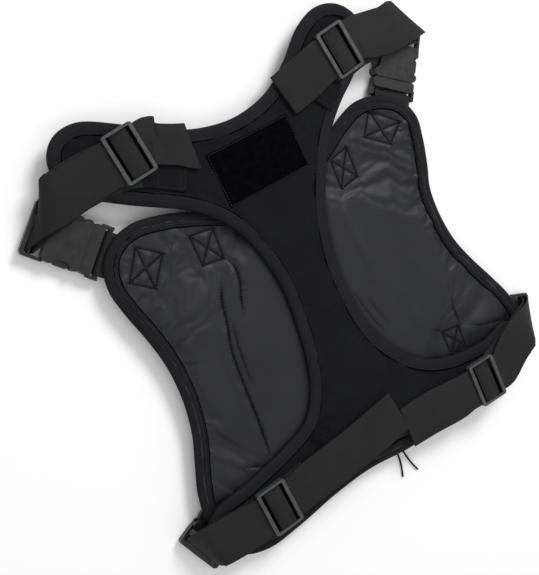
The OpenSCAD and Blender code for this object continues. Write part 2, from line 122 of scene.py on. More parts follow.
def smooth_line(points, step, closed=False):
    """Points about step apart on a centripetal Catmull-Rom curve. Extra columns are carried along."""
    p = np.asarray(points, float)
    p = np.vstack([p[-1], p, p[0], p[1]]) if closed else np.vstack([2 * p[0] - p[1], p, 2 * p[-1] - p[-2]])
    mix = lambda a, b, t, t0, t1: a + (b - a) * (t - t0) / (t1 - t0)
    out = []
    for a, b, c, d in zip(p[:-3], p[1:-2], p[2:-1], p[3:]):
        gaps = [max(np.linalg.norm(k[:3]), 1e-6) for k in (b - a, c - b, d - c)]
        t1, t2, t3 = np.cumsum(np.sqrt(gaps))
        n = max(2, math.ceil(gaps[1] / step))
        for t in np.linspace(t1, t2, n, endpoint=False):
            a1, a2, a3 = mix(a, b, t, 0, t1), mix(b, c, t, t1, t2), mix(c, d, t, t2, t3)
            b1, b2 = mix(a1, a2, t, 0, t2), mix(a2, a3, t, t1, t3)
            out.append(mix(b1, b2, t, t1, t2))
    if not closed:
        out.append(p[-2])
    return np.array(out)


def lengths(line):
    """How far along a line each of its points is."""
    return np.concatenate([[0], np.cumsum(np.linalg.norm(np.diff(line[:, :3], axis=0), axis=1))])


def even(line, step, closed=False):
    """The line again, with its points evenly spaced."""
    p = joined(line) if closed else line
    s = lengths(p)
    n = max(2, round(s[-1] / step))
    at = np.linspace(0, s[-1], n + 1)
    q = np.stack([np.interp(at, s, p[:, k]) for k in range(p.shape[1])], axis=1)
    return q[:-1] if closed else q


def inward(line):
    """Unit normals that point into an anticlockwise closed line."""
    return left_of(unit(np.roll(line, -1, 0) - np.roll(line, 1, 0)))


# ---------------- outlines

BACK_EDGE = [
    (0, 151), (-40, 158), (-70, 172), (-100, 190), (-138, 209), (-162, 206), (-176, 190),
    (-176, 166), (-160, 147), (-134, 128), (-108, 112), (-85, 98), (-60, 76), (-43, 48),
    (-34, 15), (-31, -15), (-34, -50), (-41, -88), (-53, -118), (-70, -138), (-100, -148),
    (-150, -157), (-188, -162), (-202, -176), (-199, -198), (-172, -209), (-100, -207),
    (0, -207), (80, -214), (130, -221), (174, -212), (194, -198), (194, -178), (180, -168),
    (150, -173), (100, -165), (68, -146), (47, -118), (36, -90), (32, -55), (33, -20),
    (38, 5), (46, 32), (61, 60), (84, 94), (108, 116), (134, 134), (156, 152), (166, 172),
    (160, 192), (146, 205), (125, 209), (100, 200), (70, 176), (40, 158),
]
BIB_EDGE = [
    (0, 66), (-35, 74), (-70, 90), (-105, 104), (-135, 110), (-158, 105), (-175, 90),
    (-182, 68), (-179, 42), (-172, 12), (-167, -20), (-168, -55), (-175, -88), (-187, -117),
    (-197, -142), (-201, -168), (-198, -196), (-186, -216), (-160, -227), (-120, -226),
    (-75, -221), (-30, -220), (15, -226), (60, -229), (110, -234), (150, -231), (182, -219),
    (200, -200), (206, -174), (202, -147), (190, -118), (177, -90), (167, -62), (163, -30),
    (165, -2), (173, 20), (181, 48), (184, 70), (174, 92), (152, 107), (125, 112), (100, 105),
    (70, 90), (35, 74),
]
BACK_SHIFT = np.array([-1.2, 0.7])            # how far each outline lies from its points above
BIB_SHIFT = np.array([1.6, -1.0])
back_line = even(smooth_line(BACK_EDGE + BACK_SHIFT, STEP, closed=True), STEP, closed=True)
bib_line = even(smooth_line(BIB_EDGE + BIB_SHIFT, STEP, closed=True), STEP, closed=True)


# ---------------- materials

MATERIALS = {}


def srgb(colour):
    """Screen values from 0 to 255, as a colour for a shader."""
    c = [v / 255 for v in colour]
    return (*[v / 12.92 if v <= 0.04045 else ((v + 0.055) / 1.055) ** 2.4 for v in c], 1)


class Shader:
    """A node material with short ways to add and join nodes. MATERIALS keeps it under its name."""

    def __init__(self, name, roughness, specular=0.5):
        self.material = MATERIALS[name] = bpy.data.materials.new(name)
        self.material.use_nodes = True
        self.tree = self.material.node_tree
        self.bsdf = self.tree.nodes["Principled BSDF"]
        self.bsdf.inputs["Roughness"].default_value = roughness
        self.bsdf.inputs["Specular IOR Level"].default_value = specular
        self.height = None

    def add(self, kind, **values):
        """A new node. A value goes into the socket that its name spells with spaces."""
        node = self.tree.nodes.new("ShaderNode" + kind)
        for key, value in values.items():
            self.put(node, key.replace("_", " "), value)
        return node

    def put(self, node, key, value):
        if isinstance(value, bpy.types.NodeSocket):
            self.tree.links.new(value, node.inputs[key])
        else:
            node.inputs[key].default_value = value

    def math(self, how, a, b):
        node = self.add("Math")
        node.operation = how
        self.put(node, 0, a)
        self.put(node, 1, b)
        return node.outputs[0]

    def place(self, source="Object", scale=1.0):
        """Coordinates in millimetres: the object's own, or the piece's UV map."""
        k = scale * (1000 if source == "Object" else 1)
        where = self.add("TexCoord").outputs[source]
        return self.add("Mapping", Vector=where, Scale=(k, k, k)).outputs[0]

    def noise(self, where, scale, detail=3.0, rough=0.55):
        return self.add("TexNoise", Vector=where, Scale=scale, Detail=detail, Roughness=rough).outputs["Fac"]

    def remap(self, value, low, high, out_low, out_high):
        return self.add("MapRange", Value=value, From_Min=low, From_Max=high,
                        To_Min=out_low, To_Max=out_high).outputs[0]

    def colour(self, value, *stops):
        """The base colour: a ramp with (position, screen colour) stops."""
        node = self.add("ValToRGB", Fac=value)
        marks = node.color_ramp.elements
        while len(marks) < len(stops):
            marks.new(0.5)
        for mark, (at, c) in zip(marks, stops):
            mark.position, mark.color = at, srgb(c)
        self.put(self.bsdf, "Base Color", node.outputs["Color"])

    def bump(self, value, distance, strength=1.0):
        """Relief of so many millimetres, on top of any relief added before."""
        node = self.add("Bump", Strength=strength, Distance=distance * MM, Height=value)
        if self.height is not None:
            self.put(node, "Normal", self.height)
        self.height = node.outputs[0]
        self.put(self.bsdf, "Normal", self.height)

    def bricks(self, where, width, row, mortar):
        """A woven height: rows of floats, each row half a float on from the last."""
        node = self.add("TexBrick", Vector=where, Scale=1, Brick_Width=width, Row_Height=row,
                        Mortar_Size=mortar, Mortar_Smooth=1, Mortar=(0, 0, 0, 1),
                        Color1=(1, 1, 1, 1), Color2=(0.86, 0.86, 0.86, 1))
        node.offset = 0.5
        return node.outputs["Color"]


def woven(name, dark, light, yarn, depth, roughness, specular, source="Object", mortar=0.25, creased=""):
    """A woven fabric: yarn floats in relief, slow colour drift and a little fibre noise.
    A creased one has painted shade in its colour, from the crease attribute, and one that also loses its
    gloss there has its specular faded out as painted shade."""
    s = Shader(name, roughness, specular)
    where = s.place(source)
    weave = s.bricks(where, yarn[0], yarn[1], mortar * yarn[1])
    drift = s.noise(s.place(), 0.035, 4)
    fibre = s.noise(where, 2.2, 2)
    tone = s.math("ADD", s.math("MULTIPLY", weave, 0.35),
                  s.math("ADD", s.math("MULTIPLY", drift, 0.45), s.math("MULTIPLY", fibre, 0.3)))
    if creased:
        # painted shade: the crease attribute darkens the colour along creases, at box stitches and in the
        # shade bands
        attribute = s.add("Attribute")
        attribute.attribute_name = "crease"
        painted_shade = attribute.outputs["Fac"]
        tone = s.math("SUBTRACT", tone, s.math("MULTIPLY", painted_shade, 0.75))
        s.colour(tone, (0.0, (2, 2, 3)), (0.3, dark), (0.85, light))
    else:
        s.colour(tone, (0.25, dark), (0.85, light))
    # painted shade: the specular level fades out where the crease attribute is high
    if creased == "shaded_no_gloss":
        s.put(s.bsdf, "Specular IOR Level", s.remap(painted_shade, 0, 1, specular, 0.0))
    s.put(s.bsdf, "Roughness", s.remap(fibre, 0.3, 0.7, roughness - 0.06, roughness + 0.06))
    s.bump(weave, depth)
    s.bump(fibre, depth * 0.5, 0.6)


def moulded(name, dark, light, roughness, specular=0.5):
    """Moulded plastic: fine spark-eroded grain, slight wear and dust."""
    s = Shader(name, roughness, specular)
    where = s.place()
    grain = s.noise(where, 1.8, 4, 0.7)
    wear = s.noise(where, 0.12, 5, 0.65)
    s.colour(wear, (0.3, dark), (0.75, light))
    s.put(s.bsdf, "Roughness", s.remap(wear, 0.3, 0.7, roughness - 0.08, roughness + 0.12))
    s.bump(grain, 0.05, 0.7)


def pile(name):
    """Loop pile: a near-black brushed surface."""
    s = Shader(name, 0.95, 0.02)
    where = s.place()
    loops = s.noise(where, 1.3, 5, 0.8)
    clumps = s.noise(where, 0.18)
    s.colour(s.math("MULTIPLY", loops, s.math("ADD", clumps, 0.5)), (0.3, (1, 1, 2)), (0.8, (12, 12, 16)))
    s.bump(loops, 0.5, 0.9)


def sewing_thread(name, dark, light):
    s = Shader(name, 0.6, 0.2)
    twist = s.noise(s.place(), 3.0, 2)
    s.colour(twist, (0.3, dark), (0.7, light))
    s.bump(twist, 0.08)


def braid(name):
    """Braided cord, its pattern laid out in the object's own coordinates."""
    s = Shader(name, 0.85, 0.05)
    weave = s.bricks(s.place(scale=0.7), 0.7, 0.5, 0.12)
    s.colour(weave, (0.1, (1, 1, 1)), (0.9, (6, 6, 6)))
    s.bump(weave, 0.12)


# The lining and the shell fabric take painted shade from their crease attribute
woven("lining", (13, 14, 17), (33, 34, 39), (0.7, 0.35), 0.03, 0.46, 0.32, creased="shaded_no_gloss")
woven("shell_fabric", (10, 10, 13), (22, 23, 27), (1.1, 0.55), 0.14, 0.8, 0.12, creased="dark")
woven("binding", (5, 5, 7), (30, 31, 35), (9.0, 1.2), 0.4, 0.7, 0.18, "UV", 0.5)
woven("webbing", (7, 8, 8), (32, 33, 32), (1.9, 1.05), 0.25, 0.6, 0.24, "UV", 0.42)
moulded("buckle_plastic", (9, 10, 10), (24, 26, 25), 0.38)
moulded("slide_plastic", (48, 50, 50), (76, 78, 78), 0.34)
moulded("zip_metal", (18, 18, 18), (34, 34, 34), 0.35)
moulded("zip_coil", (10, 10, 11), (20, 20, 21), 0.4)
# Near-black painted shade, for webbing and seams in deep shadow: the humps' ends by the bars and the tapes'
# seam lines
moulded("webbing_in_shade", (1, 1, 1), (5, 5, 5), 0.95, 0.02)
pile("loop_pile")
braid("cord")
sewing_thread("thread", (20, 21, 24), (44, 46, 50))
sewing_thread("dark_thread", (3, 3, 4), (12, 12, 14))


# ---------------- mesh makers

def make(name, points, faces, slot, body="root", uv=None, material=None):
    """A mesh piece from layout points, in the material of its slot unless another is named.
    uv gives one (u, v) per face corner."""
    mesh = bpy.data.meshes.new(name)
    mesh.from_pydata(to_frame(points).tolist(), [], faces)
    if uv is not None:
        layer = mesh.uv_layers.new(name="UVMap")
        layer.data.foreach_set("uv", np.asarray(uv, np.float32).ravel())
    mesh.validate(clean_customdata=False)
    mesh.polygons.foreach_set("use_smooth", [True] * len(mesh.polygons))
    mesh.materials.append(MATERIALS[material or slot])
    obj = bpy.data.objects.new(name, mesh)
    bpy.context.collection.objects.link(obj)
    if body:
        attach(obj, body)
    return obj


def grid_faces(n, k, close_n, close_k, u, v):
    """Quads over n rings of k points, with their UVs. u has n (+1) values and v has k (+1)."""
    faces, uv = [], []
    for i in range(n if close_n else n - 1):
        for j in range(k if close_k else k - 1):
            i2, j2 = (i + 1) % n, (j + 1) % k
            faces.append((i * k + j, i * k + j2, i2 * k + j2, i2 * k + j))
            uv += [(u[i], v[j]), (u[i], v[j + 1]), (u[i + 1], v[j + 1]), (u[i + 1], v[j])]
    return faces, uv


def flipped(faces, uv):
    """The same quads and UVs, with their other side out."""
    corners = [c for q in range(0, len(uv), 4) for c in reversed(uv[q:q + 4])]
    return [tuple(reversed(q)) for q in faces], corners


def tube_faces(n, k, u, v):
    """The faces of a closed tube over n rings of k points: quads and an end face at each end."""
    faces, uv = grid_faces(n, k, False, True, u, v)
    for ring in (0, n - 1):
        ids = [ring * k + j for j in range(k)]
        faces.append(tuple(ids if ring else ids[::-1]))
        uv += [(u[ring], v[j]) for j in range(k)]
    return faces, uv


def grid_rim(n, k):
    """The points round the edge of a grid of n rows of k points."""
    rim = [i * k for i in range(n)] + [(n - 1) * k + j for j in range(1, k)]
    return rim + [i * k + k - 1 for i in range(n - 2, -1, -1)] + list(range(k - 2, 0, -1))


def across_profile(half, thick, edge=0.7):
    """A webbing's section: flat, with rolled selvedges."""
    top = [(-half, 0.0), (-half + edge * 0.3, 0.38), (-half + edge, 0.5), (-half * 0.5, 0.5), (0, 0.5),
           (half * 0.5, 0.5), (half - edge, 0.5), (half - edge * 0.3, 0.38), (half, 0.0)]
    bottom = [(x, -z) for x, z in reversed(top[1:-1])]
    return np.array([(x, z * thick) for x, z in top + bottom])


def ribbon(name, stations, slot, body="root", thick=WEB_T, ripple=0.0, seed=1):
    """Webbing along stations of (x, y, z, across x, across y, half width, skew). With skew 0 its section is
    square to its run, and with skew 1 it keeps the given direction across."""
    line = even(smooth_line(stations, 2.0), 2.0)
    c, half, skew = line[:, :3], line[:, 5], line[:, 6:]
    w = unit(at_height(line[:, 3:5], 0))
    t = unit(np.gradient(c, axis=0))
    w = unit(w - (1 - skew) * (w * t).sum(1, keepdims=True) * t)
    up = unit(np.cross(w, t))
    s = lengths(c)
    wave = ripple * (np.sin(s / 17.0 + seed) + 0.6 * np.sin(s / 7.3 + 2.1 * seed))
    points = []
    for i in range(len(c)):
        section = across_profile(half[i], thick)
        lift = wave[i] * (section[:, :1] / half[i])
        points.append(c[i] + w[i] * section[:, :1] + up[i] * (section[:, 1:] + lift))
    v = lengths(joined(across_profile(half.mean(), thick)))
    faces, uv = tube_faces(len(c), len(v) - 1, s, v)
    return make(name, np.vstack(points), faces, slot, body, uv)


def tube(name, line, radius, slot, body="root", sides=8, material=None):
    t = unit(np.gradient(line, axis=0))
    a = unit(np.cross(t, [0.03, 0.02, 1.0]))
    b = np.cross(t, a)
    turns = [2 * math.pi * j / sides for j in range(sides)]
    points = []
    for c, x, y in zip(line, a, b):
        points += [c + radius * (x * math.cos(q) + y * math.sin(q)) for q in turns]
    v = np.arange(sides + 1) * 2 * math.pi * radius / sides
    faces, uv = tube_faces(len(line), sides, lengths(line), v)
    return make(name, points, faces, slot, body, uv, material)


# Rings of one stitch: place along it, thickness, lift
STITCH_RINGS = ((-0.5, 0.25, -0.6), (-0.34, 0.85, 0.1), (0.0, 1.0, 0.45), (0.34, 0.85, 0.1),
                (0.5, 0.25, -0.6))
STITCH_SIDES = 5


def stitches(name, lines, slot, thread="thread", pitch=3.4, long=2.6, r=0.32):
    """Rows of short thread stitches that lie on the lines."""
    shape, _ = tube_faces(len(STITCH_RINGS), STITCH_SIDES, range(9), range(9))      # its UVs aren't used
    turns = [2 * math.pi * j / STITCH_SIDES for j in range(STITCH_SIDES)]
    points, faces = [], []
    for line in lines:
        line = even(np.asarray(line, float), pitch)
        mid = (line[1:] + line[:-1]) / 2
        for m, d in zip(mid, unit(line[1:] - line[:-1])):
            side = unit(np.cross([0, 0, 1.0], d))
            up = np.cross(d, side)
            faces += [tuple(len(points) + i for i in q) for q in shape]
            for along, fat, lift in STITCH_RINGS:
                points += [m + d * along * long + side * r * fat * math.cos(q)
                           + up * (r * fat * 0.8 * math.sin(q) + r * lift) for q in turns]
    return make(name, np.array(points), faces, slot, material=thread)


# ---------------- panels

def crease_points(lines, side=1.5, pitch=2.2, cell_size=0.7):
    """Mesh points along sharp creases: on each line and to both sides of it, thinned where lines cross."""
    found = []
    for l in lines:
        path = even(smooth_line(l, STEP), pitch)
        n = left_of(unit(np.gradient(path, axis=0)))
        found += [path, path + n * side, path - n * side]
    kept, cells = [], set()
    for q in np.vstack(found):
        x, y = np.floor(q / cell_size).astype(int)
        if not any((x + i, y + j) in cells for i in (-1, 0, 1) for j in (-1, 0, 1)):
            cells.add((x, y))
            kept.append(q)
    return np.array(kept)


def fill_outline(line, marks=None):
    """Triangles that fill a closed line: (points, faces, how far each point is from the line)."""
    lo, hi = line.min(0), line.max(0)
    rows = np.arange(lo[1], hi[1], STEP * 0.866)      # a grid of nearly equal-sided triangles
    columns = np.arange(lo[0], hi[0], STEP)
    grid = np.array([(x + (i % 2) * STEP / 2, y) for i, y in enumerate(rows) for x in columns])
    inside = np.zeros(len(grid), bool)
    for (x0, y0), (x1, y1) in zip(line, np.roll(line, -1, 0)):
        cross = (y0 > grid[:, 1]) != (y1 > grid[:, 1])
        with np.errstate(divide="ignore", invalid="ignore"):
            inside ^= cross & (grid[:, 0] < (x1 - x0) * (grid[:, 1] - y0) / (y1 - y0) + x0)
    grid = grid[inside]
    if marks is not None:
        room = math.sqrt(4.5)                         # ground without grid points round each mark
        grid = np.vstack([marks, grid[distance(grid, marks) > room]])
    grid = grid[distance(grid, line) > STEP * 0.6]
    n = len(line)
    plan = [Vector(p) for p in np.vstack([line, grid])]
    v, _, f, *_ = delaunay_2d_cdt(plan, [(i, (i + 1) % n) for i in range(n)], [], 1, 1e-5)
    v = np.array([tuple(q) for q in v])
    away = distance(v, line)
    away[:n] = 0
    return v, f, away


def two_skins(f, n, top, low):
    """A closed body of two skins with the same triangles, which share their first n points."""
    index = [i if i < n else len(top) + i - n for i in range(len(top))]
    faces = [tuple(q) for q in f] + [tuple(index[i] for i in reversed(q)) for q in f]
    return np.vstack([top, low[n:]]), faces


def crease(xy, line, height, width, taper=25.0):
    """Relief of a soft fold along a line of points: height at its middle, fading at both ends."""
    path = even(smooth_line(line, STEP), 3)
    s = lengths(path)
    out = np.zeros(len(xy))
    for k in range(0, len(xy), 2000):
        q = xy[k:k + 2000]
        d = np.sqrt(((q[:, None] - path[None]) ** 2).sum(2))
        i = d.argmin(1)
        fade = np.clip(np.minimum(s[i], s[-1] - s[i]) / taper, 0, 1)
        out[k:k + 2000] = height * fade * np.exp(-(d.min(1) / width) ** 2)
    return out


def subdivide(obj):
    m = obj.modifiers.new("smooth", "SUBSURF")
    m.levels = m.render_levels = 1
    deps = bpy.context.evaluated_depsgraph_get()
    mesh = bpy.data.meshes.new_from_object(obj.evaluated_get(deps))
    obj.modifiers.clear()
    obj.data = mesh


def puff(obj, pinned, pressure, grow, cap, frames=20):
    """Cloth simulation of a pad: it swells between its pinned points, and no point moves more than cap."""
    start = np.array([v.co for v in obj.data.vertices])
    group = obj.vertex_groups.new(name="pins")
    group.add(np.nonzero(pinned)[0].tolist(), 1.0, "REPLACE")
    cloth = obj.modifiers.new("cloth", "CLOTH")
    cs = cloth.settings
    cs.vertex_group_mass = "pins"
    cs.use_pressure = True
    cs.uniform_pressure_force = pressure
    cs.shrink_min = grow
    cs.quality = 6
    cs.mass = 0.15
    cs.tension_stiffness = cs.compression_stiffness = 12
    cs.shear_stiffness = 6
    cs.bending_stiffness = 0.4
    cs.tension_damping = cs.compression_damping = cs.shear_damping = 8
    cs.effector_weights.gravity = 0
    cloth.collision_settings.use_collision = False
    cloth.point_cache.frame_start, cloth.point_cache.frame_end = 1, frames
    for f in range(1, frames + 1):
        bpy.context.scene.frame_set(f)
    deps = bpy.context.evaluated_depsgraph_get()
    end = np.array([v.co for v in obj.evaluated_get(deps).data.vertices])
    obj.modifiers.clear()
    obj.vertex_groups.clear()
    bpy.context.scene.frame_set(1)
    move = end - start
    far = np.linalg.norm(move, axis=1, keepdims=True)
    move *= np.minimum(1, cap * MM / np.maximum(far, 1e-9))
    for v, p in zip(obj.data.vertices, start + move):
        v.co = p


def box_x(corners):
    """The plan lines of a box-and-cross stitch."""
    a, b, c, d = np.array(corners, float)
    return [[a, b], [b, c], [c, d], [d, a], [a, c], [b, d]]


# Box stitches that show through the lining
BIB_BOXES = [
    [(-140, 89), (-120, 72), (-141, 47), (-160, 63)],
    [(-90, 74), (-66, 70), (-69, 40), (-91, 44)],
    [(137, 97), (165, 72), (144, 57), (120, 76)],
    [(97, 76), (75, 72), (73, 42), (95, 45)],
    [(110, -142), (131, -145), (130, -169), (110, -168)],
]
BOX_LINES = [l for b in BIB_BOXES for l in box_x(b)]

# Long soft folds in the lining: plan line, height, width
CREASES = [
    ([(-82, 24), (-89, 11), (-97, -17), (-103, -36), (-106, -55), (-109, -86), (-112, -118),
      (-117, -152)], -2.4, 2.0),
    ([(-90, 2), (-99, -14), (-108, -36), (-112, -58), (-115, -86), (-118, -118), (-121, -148)], 2.4, 4.5),
    ([(-90, -12), (-95, -34), (-99, -60), (-101, -84)], -1.3, 1.8),
    ([(-67, 44), (-64, 25), (-67, 12), (-72, 1), (-79, -19)], -2.0, 2.0),
    ([(-72, 39), (-69, 24), (-73, 9), (-79, -2), (-85, -18)], 2.0, 4),
    ([(-126, 40), (-130, 10), (-128, -20)], 1.2, 12),
    ([(-148, 38), (-150, 8), (-144, -30), (-146, -70)], 0.8, 9),
    ([(-159, 100), (-162, 86), (-168, 67), (-169, 51)], -1.8, 2.0),
    ([(-163, 96), (-149, 99), (-134, 95)], -1.6, 2.0),
    ([(-152, -92), (-164, -112), (-172, -134), (-178, -156)], 1.6, 7),
    ([(-150, -143), (-140, -146), (-132, -150), (-122, -157)], -2.0, 2.0),
    ([(-146, -139), (-136, -141), (-126, -147)], 1.4, 3),
    ([(68, 37), (62, 9), (64, -26), (60, -60)], 1.6, 5),
    ([(120, 54), (114, 19), (118, -21), (114, -61), (112, -111)], 1.2, 14),
    ([(92, -61), (86, -96), (88, -131)], 1.2, 6),
    ([(34, -46), (39, -71), (44, -92), (50, -108)], -1.0, 2.0),
    ([(46, -60), (52, -84), (58, -104)], -0.8, 2.0),
    ([(127, 106), (134, 96), (142, 90), (152, 84)], -2.0, 2.0),
    ([(174, 88), (174, 71), (169, 54), (161, 28)], -1.0, 1.8),
    ([(112, 108), (124, 105), (136, 107)], -1.6, 2.0),
    ([(137, -112), (133, -129), (134, -150)], -1.8, 2.0),
    ([(94, -129), (104, -136), (116, -144)], -1.2, 2.0),
    ([(136, -148), (160, -160), (188, -168)], -1.6, 2.4),
    ([(146, 34), (152, 8), (148, -30), (146, -60)], 0.9, 6),
]
# The scrunched fabric at the back panel's left waist
BACK_CREASES = [
    ([(-82, -142), (-68, -152), (-54, -168)], -1.8, 2.4),
    ([(-88, -146), (-74, -157), (-62, -172)], 1.8, 3.5),
    ([(-70, -141), (-58, -150), (-46, -160)], 1.6, 3.5),
    ([(-56, -140), (-47, -148), (-38, -152)], -1.2, 2.4),
    ([(-110, -152), (-96, -158), (-80, -160)], 1.2, 4), ([(-30, -150), (-10, -162), (20, -166)], 0.8, 7),
    ([(58, -160), (84, -170), (112, -174)], -1.2, 3), ([(62, -152), (92, -162), (120, -167)], 1.2, 5),
    ([(-24, 60), (-20, 20), (-23, -30)], 0.7, 7), ([(20, 62), (16, 24), (20, -20)], 0.6, 8),
    ([(-100, 172), (-118, 184), (-140, 190)], 0.8, 6), ([(-142, 150), (-152, 168), (-150, 188)], -0.9, 3),
    ([(132, 148), (144, 164), (146, 186)], -0.9, 3),
]
# Painted shade on sunk fabric and along the back panel's edge: plan line, strength, width, taper
BIB_SHADE = [
    (joined(back_line), 0.4, 4.0, 0.1),
    ([(-190, -166), (-159, -158), (-134, -155), (-112, -148)], 0.4, 9.0, 12.0),
    ([(104, -160), (125, -165), (150, -168), (180, -168), (200, -166)], 0.42, 8.0, 12.0),
    ([(118, -150), (122, -158), (128, -164)], 0.4, 6.0, 3.0),
]
# Painted shade in the back panel's scrunched waist folds, with the same columns
BACK_SHADE = [
    ([(-82, -138), (-74, -152), (-64, -168)], 0.8, 5.0, 4.0),
    ([(-64, -142), (-58, -150), (-52, -160)], 0.5, 4.0, 4.0),
    ([(70, -166), (92, -172), (112, -176)], 0.6, 3.5, 6.0),
]
BOX_TRACK = (-1.1, 2.0)                        # depth and width of the dent along a box stitch
CREASE_WIDTH = 1.5
PUCKER_LONG = 15.0


def puckers(xy, boxes):
    """Dents along box stitches, with short folds running out from their corners."""
    out = np.zeros(len(xy))
    for box in boxes:
        for l in box_x(box):
            out = np.minimum(out, crease(xy, l, *BOX_TRACK, taper=0.1))
        corners = np.array(box, float)
        for k, corner in enumerate(corners):
            way = unit(corner - corners.mean(axis=0))
            side = left_of(way)
            for sign, tilt in ((-1.3, 0.0), (0.9, 0.5), (0.9, -0.5)):
                start = corner + side * tilt * 5
                end = corner + (way + side * tilt * 0.5) * PUCKER_LONG * (0.8 + 0.25 * k)
                out += crease(xy, [start, (start + end) / 2 + side, end], sign, 2.6, taper=7.0)
    return out


def layout_points(obj):
    return np.array([v.co for v in obj.data.vertices]) / MM + CENTRE


def relief(obj, line, tape, z, folds, boxes):
    """Folds pressed into a pad's top skin, fading out under its edge tape."""
    co = layout_points(obj)
    top = co[:, 2] > sum(z) / 2 + 0.2
    inside = distance(co, line) - tape
    fade = np.clip((inside + 2) / 6, 0, 1)
    lift = puckers(co[:, :2], boxes)
    for fold, height, width in folds:
        lift += crease(co[:, :2], fold, height, width)
    turn = np.arctan2(co[:, 1], co[:, 0])
    lift += 0.35 * np.exp(-((inside - 3) / 4) ** 2) * np.sin(turn * 61 + (inside + tape) * 0.2)
    co[:, 2] += np.where(top, lift * fade, 0)
    for v, p in zip(obj.data.vertices, to_frame(co)):
        v.co = p


def paint_crease_shade(obj, z, folds, boxes, soft):
    """Stores painted shade for the fabric's colour in the crease attribute of the top skin: darkening along
    sharp creases and box stitches, and in the soft shade bands.
    """
    co = layout_points(obj)
    top = np.nonzero(co[:, 2] > sum(z) / 2)[0]
    xy = co[top, :2]
    dark = np.zeros(len(co))
    lines = [(fold, min(1.0, -height / 2.0), CREASE_WIDTH, 16.0) for fold, height, _ in folds if height < 0]
    for box in boxes:
        lines += [(l, 0.55, CREASE_WIDTH, 0.1) for l in box_x(box)]
        # painted shade: dark spots at the box stitches' corners
        lines += [([c - 1.2, c + 1.2], 1.0, 2.4, 0.1) for c in np.array(box, float)]
    for fold, weight, width, taper in [*lines, *soft]:
        plan = np.array(fold, float)
        lo, hi = plan.min(0) - 3 * width, plan.max(0) + 3 * width
        close = np.nonzero(((xy > lo) & (xy < hi)).all(1))[0]
        if len(close):
            mark = crease(xy[close], fold, weight, width, taper)
            dark[top[close]] = np.maximum(dark[top[close]], mark)
    layer = obj.data.attributes.new("crease", "FLOAT", "POINT")
    layer.data.foreach_set("value", dark.astype(np.float32))


def press(obj, line, tape, z, folds, boxes, soft):
    """Folds and box stitches sunk into a pad that is subdivided after its relief, then painted shade along
    its creases and in its shade bands.
    """
    relief(obj, line, tape, z, folds, boxes)
    subdivide(obj)
    paint_crease_shade(obj, z, folds, boxes, soft)


def gathers(line, tape, count, low, high, deep):
    """Short creases that run in from an edge tape, at seeded places."""
    out = []
    n = inward(line)
    for i in random.sample(range(len(line)), count):
        side = left_of(n[i]) * random.uniform(-0.7, 0.7)
        start = line[i] + n[i] * (tape + 0.5)
        end = start + (n[i] + side) * random.uniform(low, high)
        out.append(([start, (start + end) / 2 + side, end], -deep * random.uniform(0.4, 1.0), 1.8))
    return out


def make_pad(name, line, z, folds, boxes, upper, lower):
    """A closed pad with a material for each skin, and mesh points along its sharp creases and stitches."""
    ring = line + inward(line) * 3.0
    sharp = [fold for fold, height, _ in folds if height < 0] + [l for b in boxes for l in box_x(b)]
    v, f, away = fill_outline(ring, crease_points(sharp))
    mid, half = (z[0] + z[1]) / 2, (z[1] - z[0]) / 2
    rise = np.clip(away / 5.0, 0, 1) ** 0.5 * half
    points, faces = two_skins(f, len(ring), at_height(v, mid + rise), at_height(v, mid - rise))
    obj = make(name, points, faces, upper, body=None)
    obj.data.materials.append(MATERIALS[lower])
    for p in obj.data.polygons[len(f):]:
        p.material_index = 1
    return obj, points


BIB_FOLDS = CREASES + gathers(bib_line, BIB_TAPE + HEM, 46, 6, 18, 1.3)
BACK_FOLDS = BACK_CREASES + gathers(back_line, BACK_TAPE, 22, 5, 12, 1.0)

bib, points = make_pad("front_pad", bib_line, BIB_Z, BIB_FOLDS, BIB_BOXES, "lining", "shell_fabric")
lower_skin = points[:, 2] < sum(BIB_Z) / 2 - 0.1
by_edge = distance(points, bib_line) < BIB_TAPE - 2
by_boxes = distance(points, np.vstack([even(np.array(l), STEP) for l in BOX_LINES])) < 2.5
puff(bib, by_edge | lower_skin | by_boxes, 2.5, -0.03, 3.5)
press(bib, bib_line, BIB_TAPE, BIB_Z, BIB_FOLDS, BIB_BOXES, BIB_SHADE)
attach(bib, "root")
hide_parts("front_shell", "front_padding", "front_lining")

back, points = make_pad("back_pad", back_line, BACK_Z, BACK_FOLDS, (), "shell_fabric", "lining")
under_straps = (np.abs(points[:, 1] - 160) < 32) & (np.abs(points[:, 0]) > 45)
under_belt = points[:, 1] < -150
by_edge = distance(points, back_line) < BACK_TAPE - 2
puff(back, by_edge | under_straps | under_belt, 1.5, -0.012, 1.0)
press(back, back_line, BACK_TAPE, BACK_Z, BACK_FOLDS, (), BACK_SHADE)
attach(back, "root")
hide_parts("back_shell", "back_padding", "back_lining")

bib_tree = BVHTree.FromObject(bib, bpy.context.evaluated_depsgraph_get())


def over_bib(x, y, extra=0.0):
    """The height of the bib's top at a layout point."""
    hit = bib_tree.ray_cast(Vector(to_frame([x, y, 100.0])), Vector((0, 0, -1)))
    return (hit[0].z / MM if hit[0] is not None else BIB_Z[1]) + extra


def shadow_line(name, xy, z):
    """A thin near-black tube along the seam at a tape's edge: painted shade for the seam's dark line."""
    tube(name, joined(at_height(xy, z)), 0.5, "binding", sides=6, material="webbing_in_shade")


